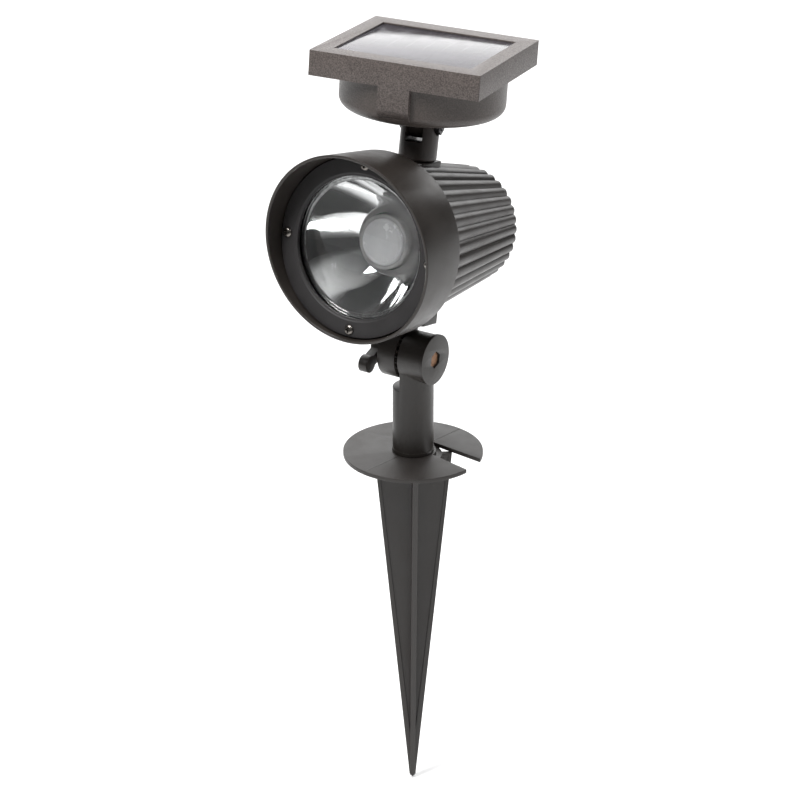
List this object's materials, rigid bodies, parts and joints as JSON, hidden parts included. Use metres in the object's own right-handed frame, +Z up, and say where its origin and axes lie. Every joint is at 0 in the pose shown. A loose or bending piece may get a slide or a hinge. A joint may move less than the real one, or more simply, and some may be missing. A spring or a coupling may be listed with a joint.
{
  "type": "solar garden spotlight on a ground spike",
  "caption": "Garden spotlight on a ground spike, with a hooded fluted lamp head on a clamped knuckle and a tilting square solar panel on a stem.",
  "frame": {"origin": "centre of the collar underside, where it rests on the ground; the spike hangs below", "axes": "+Z up along the spike and post; the beam leaves towards -Y; +X runs across the knuckle, towards its nut"},
  "size_m": [0.107, 0.1282, 0.4317],
  "materials": {
    "stake_plastic": "satin",
    "post_plastic": "satin",
    "head_plastic": "satin",
    "bezel_plastic": "matte",
    "panel_plastic": "satin",
    "drum_plastic": "satin",
    "steel": "satin",
    "brass": "satin",
    "clear_lens": "gloss",
    "reflector_chrome": "polished",
    "frosted_lens": "satin",
    "led_ring_plastic": "satin",
    "led_yellow": "satin",
    "circuit_board": "satin",
    "chip_black": "matte",
    "bare_aluminium": "satin",
    "seal_rubber": "matte",
    "solar_glass": "gloss",
    "silicon_cell": "gloss",
    "cell_backing": "matte",
    "battery_sleeve": "gloss",
    "tray_plastic": "satin",
    "switch_plastic": "satin"
  },
  "bodies": {
    "stake": {"ground_stake": "stake_plastic"},
    "post": {"post": "post_plastic", "clamp_nut": "brass"},
    "thumb_screw": {"thumb_knob": "post_plastic", "clamp_bolt": "steel", "clamp_washer": "steel"},
    "head": {"knuckle_bracket": "post_plastic", "bracket_screws": "steel", "barrel_housing": "head_plastic", "hood": "head_plastic", "bezel_ring": "bezel_plastic", "bezel_screws": "steel", "front_lens": "clear_lens", "lens_gasket": "seal_rubber", "reflector": "reflector_chrome", "led_lens": "frosted_lens", "led_ring": "led_ring_plastic", "led_chips": "led_yellow", "led_board": "circuit_board", "led_board_screws": "steel", "heat_spreader": "bare_aluminium"},
    "stem": {"panel_stem": "panel_plastic", "stem_insert": "brass", "swivel_screw": "steel", "swivel_washer": "steel", "hinge_bolt": "steel", "hinge_nut": "steel"},
    "panel": {"panel_frame": "panel_plastic", "battery_drum": "drum_plastic", "case_screws": "steel", "solar_glass": "solar_glass", "solar_cells": "silicon_cell", "cell_backing": "cell_backing", "glass_seal": "seal_rubber", "panel_lug": "panel_plastic", "lug_screws": "steel", "batteries": "battery_sleeve", "battery_tray": "tray_plastic", "tray_screws": "steel", "contact_plates": "steel", "contact_springs": "steel", "control_board": "circuit_board", "board_components": "chip_black", "switch_body": "switch_plastic"},
    "switch": {"switch_slider": "switch_plastic"}
  },
  "joints": [
    {"name": "post_swivel", "type": "hinge", "parent": "stake", "child": "post", "pos_m": [0, 0, 0], "axis": [0, 0, 1], "continuous": true},
    {"name": "head_tilt", "type": "hinge", "parent": "post", "child": "head", "pos_m": [0, 0, 0.0577], "axis": [1, 0, 0], "range_deg": [-79, 45]},
    {"name": "thumb_turn", "type": "hinge", "parent": "post", "child": "thumb_screw", "pos_m": [0, 0, 0.0577], "axis": [-1, 0, 0], "range_deg": [0, 360]},
    {"name": "panel_swivel", "type": "hinge", "parent": "head", "child": "stem", "pos_m": [0, 0.00683, 0.18433], "axis": [0, 0.1857, 0.9826], "range_deg": [-186.4, 163.6]},
    {"name": "panel_tilt", "type": "hinge", "parent": "stem", "child": "panel", "pos_m": [0, 0.00683, 0.18433], "axis": [0.9803, 0.1942, -0.0367], "range_deg": [-30.8, 19.2]},
    {"name": "power_switch", "type": "slide", "parent": "panel", "child": "switch", "axis": [-0.1966, 0.9771, -0.0818], "range_m": [0, 0.003]}
  ]
}
